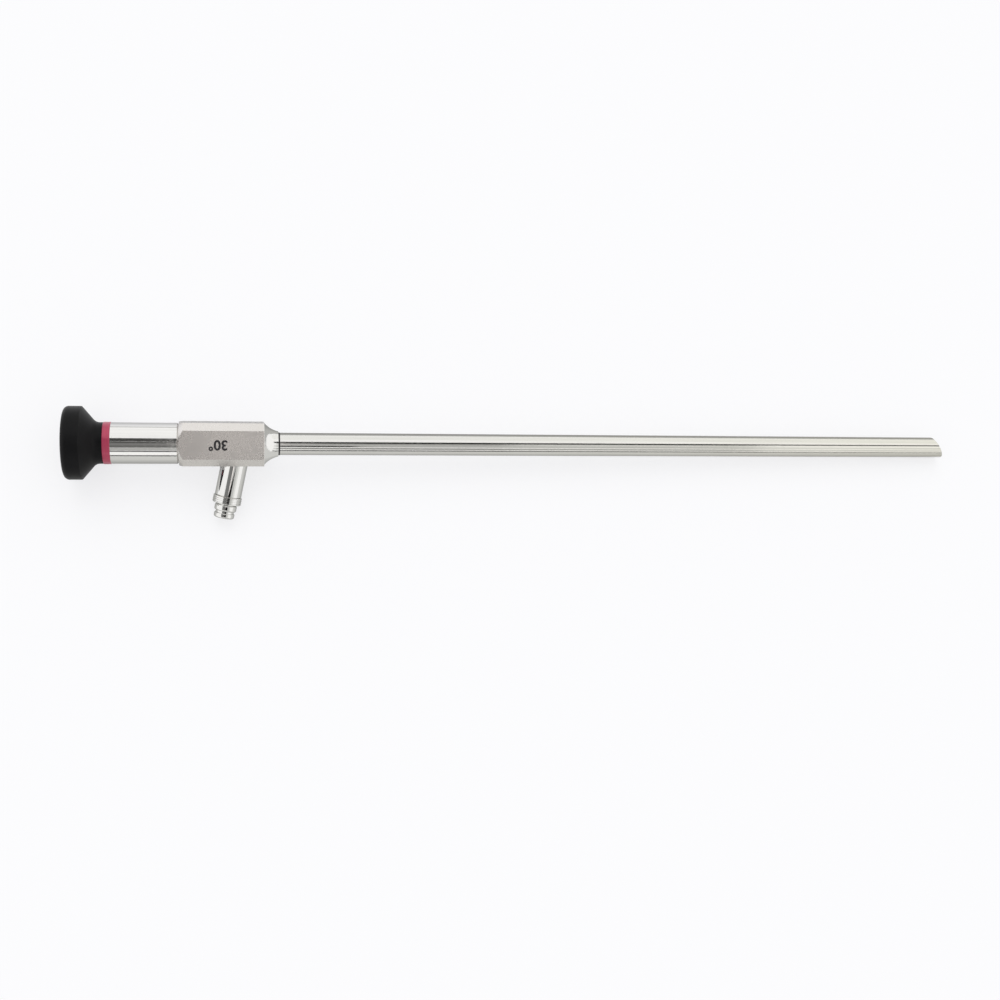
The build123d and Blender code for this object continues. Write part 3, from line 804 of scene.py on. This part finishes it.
class ENDOSCOPE_OT_light_post(bpy.types.Operator):
    """Finish the light post: stem, sleeve, cable adapter and ferrule"""

    bl_idname = "endoscope.light_post"
    bl_label = "Light post"

    def execute(self, context):
        colours = context.scene.endoscope_colours
        post = polished_steel(colours.polished_steel, "polished_post", POST)
        dress(post, "post_sleeve", "cable_adapter", "light_post_stem", "fibre_ferrule")
        return {"FINISHED"}


class ENDOSCOPE_OT_inner_pieces(bpy.types.Operator):
    """Finish the pieces inside: tubes, rings, nuts, spacers and seals"""

    bl_idname = "endoscope.inner_pieces"
    bl_label = "Inner pieces"

    def execute(self, context):
        pitch = context.scene.endoscope_sizes.turned_pitch
        black = turned_metal("black_anodised", (0.03, 0.03, 0.032), 0.5, pitch, 0.8)
        brass = turned_metal("turned_brass", (0.72, 0.52, 0.24), 0.3, pitch)
        steel = turned_metal("turned_steel", (0.62, 0.61, 0.59), 0.3, pitch)
        dress(brass, "tube_bush", "tube_lock_nut")
        dress(steel, "optical_tube", "objective_cell")
        dress(
            black,
            "ocular_barrel",
            "lens_retaining_ring",
            "eyepiece_spacer",
            "barrel_lock_ring",
            "field_stop",
            "objective_spacer",
            *[name for name in NODES if name.startswith("relay_spacer")],
        )
        dress(seal_rubber(), "eye_cup_seal", "body_seal_ring", "sleeve_seal", "adapter_seal")
        return {"FINISHED"}


class ENDOSCOPE_OT_studio(bpy.types.Operator):
    """Build the floor, the light, the flags that metal mirrors and the camera"""

    bl_idname = "endoscope.studio"
    bl_label = "Studio"

    def execute(self, context):
        stage = context.scene.endoscope_stage
        build_floor(context.scene.endoscope_colours.floor)
        build_world(stage.world_strength)
        build_flags()
        build_lights(stage.key_power)
        build_camera(stage)
        context.scene.view_settings.view_transform = "Standard"
        return {"FINISHED"}


# Studio

FLOOR_REACH = 15.0
FLOOR_ROUGHNESS = 0.9
STUDIO_WHITE = (0.985, 0.985, 1.0)

# How much of the floor's own look gives way to plain white for the camera.
FLOOR_WHITE_SHARE = 0.72

# The world as camera, mirror and glass rays see it.
SEEN_WHITE = (1.0, 0.995, 0.985)
SEEN_STRENGTH = 0.95

LIGHT_DIRECTION = (0.12, -0.62, -0.78)
LIGHT_SPREAD = math.radians(50.0)
SENSOR_WIDTH = 36.0
CLIP_START = 0.01


def rectangle(left, right, front, back, height):
    """The corners of a level rectangle."""
    return [Vector((x, y, height)) for x, y in ((left, front), (right, front), (right, back), (left, back))]


def stage_plane(name, corners, material):
    """A flat four-sided piece of the stage."""
    mesh = bpy.data.meshes.new(name)
    mesh.from_pydata(corners, [], [(0, 1, 2, 3)])
    mesh.materials.append(material)
    plane = bpy.data.objects.new(name, mesh)
    bpy.context.scene.collection.objects.link(plane)
    return plane


def build_floor(colour):
    """A wide plain pale floor that keeps the shadow, lightened with plain white for the camera."""
    material = bpy.data.materials.new("floor")
    material.use_nodes = True
    nodes, links = material.node_tree.nodes, material.node_tree.links
    shader = nodes["Principled BSDF"]
    shader.inputs["Base Color"].default_value = (*colour, 1.0)
    shader.inputs["Roughness"].default_value = FLOOR_ROUGHNESS
    shader.inputs["Specular IOR Level"].default_value = 0.0
    white = nodes.new("ShaderNodeEmission")
    white.inputs["Color"].default_value = (*STUDIO_WHITE, 1.0)
    path = nodes.new("ShaderNodeLightPath")
    mix = nodes.new("ShaderNodeMixShader")
    share = math_node(nodes, links, "MULTIPLY", path.outputs["Is Camera Ray"], FLOOR_WHITE_SHARE)
    links.new(share, mix.inputs["Fac"])
    links.new(shader.outputs[0], mix.inputs[1])
    links.new(white.outputs[0], mix.inputs[2])
    links.new(mix.outputs[0], nodes["Material Output"].inputs["Surface"])
    corners = rectangle(-FLOOR_REACH, FLOOR_REACH, -FLOOR_REACH, FLOOR_REACH, 0.0)
    stage_plane("floor", corners, material)


def build_world(strength):
    """An even pale world. Camera, mirror and glass rays see it white."""
    world = bpy.data.worlds.new("studio")
    world.use_nodes = True
    nodes, links = world.node_tree.nodes, world.node_tree.links
    background = nodes["Background"]
    path = nodes.new("ShaderNodeLightPath")
    seen = math_node(nodes, links, "MAXIMUM", path.outputs["Is Camera Ray"], path.outputs["Is Glossy Ray"])
    seen = math_node(nodes, links, "MAXIMUM", seen, path.outputs["Is Transmission Ray"])
    pale = tone(world.node_tree, seen, STUDIO_WHITE, SEEN_WHITE)
    links.new(pale, background.inputs["Color"])
    links.new(remap(nodes, links, seen, 0.0, 1.0, strength, SEEN_STRENGTH), background.inputs["Strength"])
    bpy.context.scene.world = world


# The cards are a little warm, and the body's are warmer.
CARD_TINT = (1.0, 1.0, 0.97)
BODY_CARD_TINT = (1.0, 0.945, 0.92)

# Grey cards that polished steel mirrors. Each set hangs over its own stretch of X and holds, for each
# card, its angle from straight up towards +Y, its angular width, both in degrees, and its grey.
FLAG_SETS = {
    "eyepiece": (-0.70, -0.1675, (
        (88.0, 8.0, 0.50),
        (6.0, 17.0, 0.06),
        (-8.0, 10.0, 0.10),
        (-19.0, 12.0, 0.19),
        (-31.0, 12.0, 0.14),
        (-45.0, 14.0, 0.42),
        (-57.5, 7.0, 0.06),
        (-87.0, 8.5, 0.08),
    )),
    "body": (-0.1675, -0.075, (
        (1.0, 15.0, 0.40),
        (-25.0, 36.0, 1.0),
        (-57.0, 7.0, 0.30),
        (-86.5, 8.0, 0.22),
    )),
    "tube": (-0.075, 0.22, (
        (96.0, 18.0, 0.42),
        (55.0, 42.0, 0.86),
        (1.0, 17.0, 0.03),
        (-14.5, 14.0, 0.36),
        (-33.0, 22.0, 0.46),
        (-60.0, 18.0, 0.30),
        (-85.0, 16.0, 0.12),
    )),
    "tube_middle": (0.22, 0.55, (
        (96.0, 18.0, 0.38),
        (55.0, 42.0, 0.86),
        (1.5, 15.0, 0.04),
        (-13.5, 14.0, 0.62),
        (-33.0, 22.0, 0.54),
        (-60.0, 18.0, 0.42),
        (-85.0, 16.0, 0.20),
    )),
    "tube_far": (0.55, 0.92, (
        (96.0, 18.0, 0.34),
        (55.0, 42.0, 0.86),
        (2.5, 12.0, 0.08),
        (-33.0, 22.0, 0.76),
        (-60.0, 18.0, 0.68),
        (-85.0, 16.0, 0.34),
    )),
}
FLAG_DISTANCE = 0.9

# How far a card that hangs to the side moves towards the eyepiece, as the camera looks across the scope.
FLAG_SWEEP = 0.0225

# A dark card high over the light post: X range, Y range, height and grey.
POST_CARD = ((-0.148, -0.058), (-0.165, -0.102), 0.2, 0.01)

# Grey cards that lie beside the scope and darken its lower edges: X range, Y range and grey.
GROUND_CARDS = (
    ((-0.193, 0.30), (-0.50, 0.0), 0.62),
    ((-0.27, -0.193), (-0.50, -0.012), 0.62),
    ((-0.125, 0.30), (0.022, 0.50), 0.45),
)
GROUND_CARD_HEIGHT = 0.0012


def card_material(name, grey, tint):
    """Even light of a tinted grey."""
    material = bpy.data.materials.new(name)
    material.use_nodes = True
    nodes, links = material.node_tree.nodes, material.node_tree.links
    emission = nodes.new("ShaderNodeEmission")
    emission.inputs["Color"].default_value = (*shade(tint, grey), 1.0)
    links.new(emission.outputs[0], nodes["Material Output"].inputs["Surface"])
    return material


def hang_card(name, corners, grey, tint=CARD_TINT):
    """A card, given by its four corners, that only mirrors see."""
    card = stage_plane(name, corners, card_material(name, grey, tint))
    card.visible_camera = False
    card.visible_diffuse = False
    card.visible_shadow = False
    card.visible_transmission = False


def build_flags():
    """Grey cards along the scope, out of the picture, that give polished metal its streaks."""
    for label, (start, end, cards) in FLAG_SETS.items():
        tint = BODY_CARD_TINT if label == "body" else CARD_TINT
        for number, (angle, width, grey) in enumerate(cards):
            half = FLAG_DISTANCE * math.tan(math.radians(width / 2))
            sweep = FLAG_SWEEP * (math.cos(math.radians(angle)) - 1.0)
            turn = Matrix.Rotation(math.radians(-angle), 4, "X")
            corners = rectangle(start + sweep, end + sweep, -half, half, FLAG_DISTANCE)
            hang_card(f"{label}_card_{number}", [turn @ corner for corner in corners], grey, tint)
    for number, (across, along, grey) in enumerate(GROUND_CARDS):
        hang_card(f"ground_card_{number}", rectangle(*across, *along, GROUND_CARD_HEIGHT), grey)
    across, along, height, grey = POST_CARD
    hang_card("post_card", rectangle(*across, *along, height), grey)


def build_lights(power):
    """A broad even light from behind the scope, on the side away from the light post."""
    light = bpy.data.lights.new("broad_light", "SUN")
    light.energy = power
    light.angle = LIGHT_SPREAD
    lamp = bpy.data.objects.new("broad_light", light)
    lamp.rotation_euler = Vector(LIGHT_DIRECTION).to_track_quat("-Z", "Y").to_euler()
    lamp.visible_glossy = False
    bpy.context.scene.collection.objects.link(lamp)


def build_camera(stage):
    """Camera at the photograph's angle of view."""
    data = bpy.data.cameras.new("camera")
    data.lens = stage.camera_lens
    data.sensor_width = SENSOR_WIDTH
    data.clip_start = CLIP_START
    camera = bpy.data.objects.new("camera", data)
    camera.location = stage.camera_place
    camera.rotation_euler = stage.camera_turn
    bpy.context.scene.collection.objects.link(camera)
    bpy.context.scene.camera = camera


OPERATORS = (
    ENDOSCOPE_OT_eye_cup,
    ENDOSCOPE_OT_colour_ring,
    ENDOSCOPE_OT_eyepiece,
    ENDOSCOPE_OT_body,
    ENDOSCOPE_OT_marking,
    ENDOSCOPE_OT_long_tube,
    ENDOSCOPE_OT_tip,
    ENDOSCOPE_OT_light_post,
    ENDOSCOPE_OT_inner_pieces,
    ENDOSCOPE_OT_studio,
)


class ENDOSCOPE_PT_panel(bpy.types.Panel):
    """Panel that lists the operators and the values they read"""

    bl_label = "Endoscope"
    bl_idname = "ENDOSCOPE_PT_panel"
    bl_space_type = "VIEW_3D"
    bl_region_type = "UI"
    bl_category = "Endoscope"

    def draw(self, context):
        for operator in OPERATORS:
            self.layout.operator(operator.bl_idname)
        scene = context.scene
        for group in (scene.endoscope_sizes, scene.endoscope_colours, scene.endoscope_stage):
            for name in group.__annotations__:
                self.layout.prop(group, name)


GROUP_CLASSES = (EndoscopeSizes, EndoscopeColours, EndoscopeStage)


def register():
    for item in (*GROUP_CLASSES, *OPERATORS, ENDOSCOPE_PT_panel):
        bpy.utils.register_class(item)
    bpy.types.Scene.endoscope_sizes = PointerProperty(type=EndoscopeSizes)
    bpy.types.Scene.endoscope_colours = PointerProperty(type=EndoscopeColours)
    bpy.types.Scene.endoscope_stage = PointerProperty(type=EndoscopeStage)


def unregister():
    del bpy.types.Scene.endoscope_stage
    del bpy.types.Scene.endoscope_colours
    del bpy.types.Scene.endoscope_sizes
    for item in reversed((*GROUP_CLASSES, *OPERATORS, ENDOSCOPE_PT_panel)):
        bpy.utils.unregister_class(item)


def main():
    """Runs every operator in order."""
    register()
    for operator in OPERATORS:
        family, action = operator.bl_idname.split(".")
        getattr(getattr(bpy.ops, family), action)()


if __name__ == "__main__":
    main()
